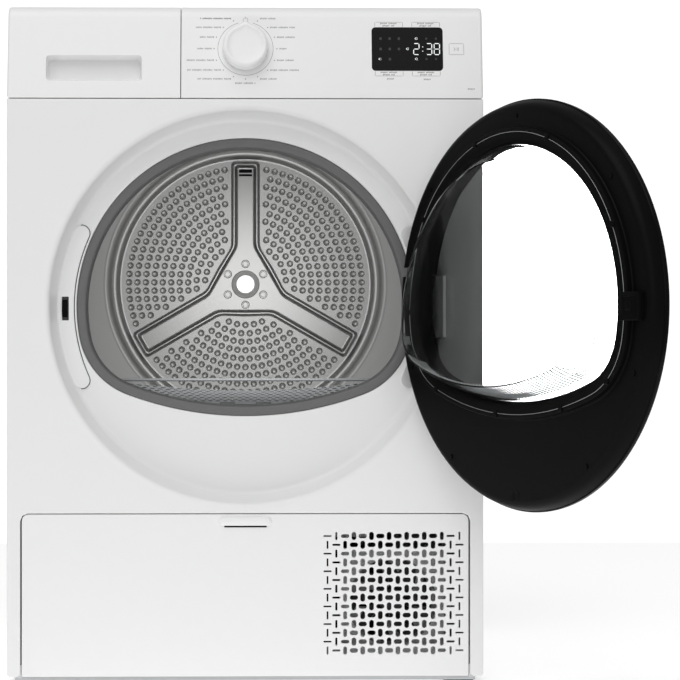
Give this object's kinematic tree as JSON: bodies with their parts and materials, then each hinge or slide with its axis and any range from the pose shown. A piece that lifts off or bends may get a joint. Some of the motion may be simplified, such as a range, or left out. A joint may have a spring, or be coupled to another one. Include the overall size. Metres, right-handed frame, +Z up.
{
  "type": "clothes dryer",
  "caption": "Front-loading heat-pump tumble dryer with its round glass door open, water tank drawer, programme knob and plinth flap with a grille.",
  "frame": {"origin": "on the floor under the middle of the cabinet, in the plane of the feet", "axes": "+Z up, -Y out of the front, +X to the right seen from the front"},
  "size_m": [0.7607, 1.0079, 0.85],
  "materials": {
    "white_enamel": "baked white enamel, semi-gloss",
    "white_abs": "moulded white ABS, satin gloss",
    "grey_polypropylene": "moulded polypropylene",
    "galvanised_steel": "zinc spangle",
    "zinc_plated_steel": "bright zinc plate",
    "stainless_steel": "satin rolled",
    "grey_seal_rubber": "soft matt rubber",
    "wool_felt": "pressed felt",
    "black_rubber": "matt rubber",
    "black_gloss_plastic": "piano black",
    "black_satin_plastic": "fine moulded grain",
    "smoked_glass": "smoked, polished",
    "clear_bowl": "clear moulded, polished",
    "green_board": "solder mask",
    "cast_motor": "die cast",
    "natural_nylon": "moulded nylon",
    "aluminium_fins": "rolled foil",
    "tank_plastic": "translucent polypropylene"
  },
  "bodies": {
    "cabinet": {"base_tray": "grey_polypropylene", "left_side_panel": "white_enamel", "right_side_panel": "white_enamel", "rear_panel": "galvanised_steel", "rear_duct_cover": "galvanised_steel", "top_panel": "white_enamel", "front_panel": "white_enamel", "control_fascia": "white_abs", "display_window": "black_gloss_plastic", "control_board": "green_board", "latch_plate": "white_abs", "latch_catch": "grey_polypropylene", "hinge_bracket": "zinc_plated_steel", "hinge_pins": "zinc_plated_steel", "bracket_screws": "zinc_plated_steel", "front_bulkhead": "galvanised_steel", "door_seal": "grey_seal_rubber", "drum_felt": "wool_felt", "roller_axles": "zinc_plated_steel", "rear_bearing": "cast_motor", "drum_belt": "black_rubber", "motor": "cast_motor", "idler_arm": "galvanised_steel", "fan_housing": "grey_polypropylene", "exchanger_cover": "grey_polypropylene", "evaporator": "aluminium_fins", "condenser": "aluminium_fins", "compressor": "black_satin_plastic", "condensate_pump": "grey_polypropylene", "filter_housing": "white_abs", "tank_guide": "grey_polypropylene", "drain_spigot": "grey_polypropylene", "cable_gland": "black_rubber", "cooling_fan_shroud": "grey_polypropylene"},
    "door": {"door_outer_ring": "black_gloss_plastic", "door_glass": "smoked_glass", "door_inner_cover": "black_satin_plastic", "door_bowl": "clear_bowl", "door_hinge_arm": "zinc_plated_steel", "door_latch_hook": "black_satin_plastic", "door_screws": "black_satin_plastic"},
    "drum": {"drum_shell": "stainless_steel", "drum_rear_wall": "stainless_steel", "drum_spider": "stainless_steel", "drum_shaft": "zinc_plated_steel"},
    "left_roller": {"left_roller": "black_rubber"},
    "right_roller": {"right_roller": "black_rubber"},
    "drive_rotor": {"motor_pulley": "zinc_plated_steel", "process_fan": "natural_nylon"},
    "idler": {"idler_pulley": "natural_nylon"},
    "cooling_fan": {"cooling_fan": "black_satin_plastic"},
    "tank": {"tank_front": "white_abs", "tank_body": "tank_plastic"},
    "lint_filter": {"filter_frame": "grey_polypropylene"},
    "program_knob": {"program_knob": "white_abs"},
    "flap": {"flap_panel": "white_abs"},
    "front_left_foot": {"front_left_foot": "black_satin_plastic"},
    "front_right_foot": {"front_right_foot": "black_satin_plastic"},
    "rear_left_foot": {"rear_left_foot": "black_satin_plastic"},
    "rear_right_foot": {"rear_right_foot": "black_satin_plastic"}
  },
  "joints": [
    {"name": "door_hinge", "type": "hinge", "parent": "cabinet", "child": "door", "pos_m": [0.222, -0.2974, 0.472], "axis": [0, 0, 1], "range_deg": [-121.7, 8]},
    {"name": "drum_spin", "type": "hinge", "parent": "cabinet", "child": "drum", "pos_m": [0, 0, 0.508], "axis": [0, -1, 0], "continuous": true},
    {"name": "left_roller_spin", "type": "hinge", "parent": "cabinet", "child": "left_roller", "pos_m": [-0.1789, -0.187, 0.25251], "axis": [0, -1, 0], "continuous": true},
    {"name": "right_roller_spin", "type": "hinge", "parent": "cabinet", "child": "right_roller", "pos_m": [0.1789, -0.187, 0.25251], "axis": [0, -1, 0], "continuous": true},
    {"name": "drive_spin", "type": "hinge", "parent": "cabinet", "child": "drive_rotor", "pos_m": [0.15, 0.13, 0.105], "axis": [0, -1, 0], "continuous": true},
    {"name": "idler_spin", "type": "hinge", "parent": "cabinet", "child": "idler", "pos_m": [0.21505, 0.06, 0.19628], "axis": [0, -1, 0], "continuous": true},
    {"name": "cooling_fan_spin", "type": "hinge", "parent": "cabinet", "child": "cooling_fan", "pos_m": [0.186, -0.242, 0.098], "axis": [0, -1, 0], "continuous": true},
    {"name": "tank_slide", "type": "slide", "parent": "cabinet", "child": "tank", "axis": [0, -1, 0], "range_m": [0, 0.4]},
    {"name": "filter_lift", "type": "slide", "parent": "cabinet", "child": "lint_filter", "axis": [0, 0, 1], "range_m": [0, 0.15]},
    {"name": "knob_turn", "type": "hinge", "parent": "cabinet", "child": "program_knob", "pos_m": [0, -0.28775, 0.7955], "axis": [0, -0.9816, 0.1908], "continuous": true},
    {"name": "flap_hinge", "type": "hinge", "parent": "cabinet", "child": "flap", "pos_m": [0, -0.292, 0.018], "axis": [1, 0, 0], "range_deg": [0, 88]},
    {"name": "front_left_foot_turn", "type": "hinge", "parent": "cabinet", "child": "front_left_foot", "pos_m": [-0.2695, -0.256, 0], "axis": [0, 0, 1], "continuous": true},
    {"name": "front_right_foot_turn", "type": "hinge", "parent": "cabinet", "child": "front_right_foot", "pos_m": [0.2695, -0.256, 0], "axis": [0, 0, 1], "continuous": true},
    {"name": "rear_left_foot_turn", "type": "hinge", "parent": "cabinet", "child": "rear_left_foot", "pos_m": [-0.2695, 0.218, 0], "axis": [0, 0, 1], "continuous": true},
    {"name": "rear_right_foot_turn", "type": "hinge", "parent": "cabinet", "child": "rear_right_foot", "pos_m": [0.2695, 0.218, 0], "axis": [0, 0, 1], "continuous": true}
  ],
  "couplings": [
    {"joint": "left_roller_spin", "follows": "drum_spin", "ratio": -11.979},
    {"joint": "right_roller_spin", "follows": "drum_spin", "ratio": -11.979},
    {"joint": "drive_spin", "follows": "drum_spin", "ratio": 31.944},
    {"joint": "idler_spin", "follows": "drum_spin", "ratio": -15.972}
  ]
}
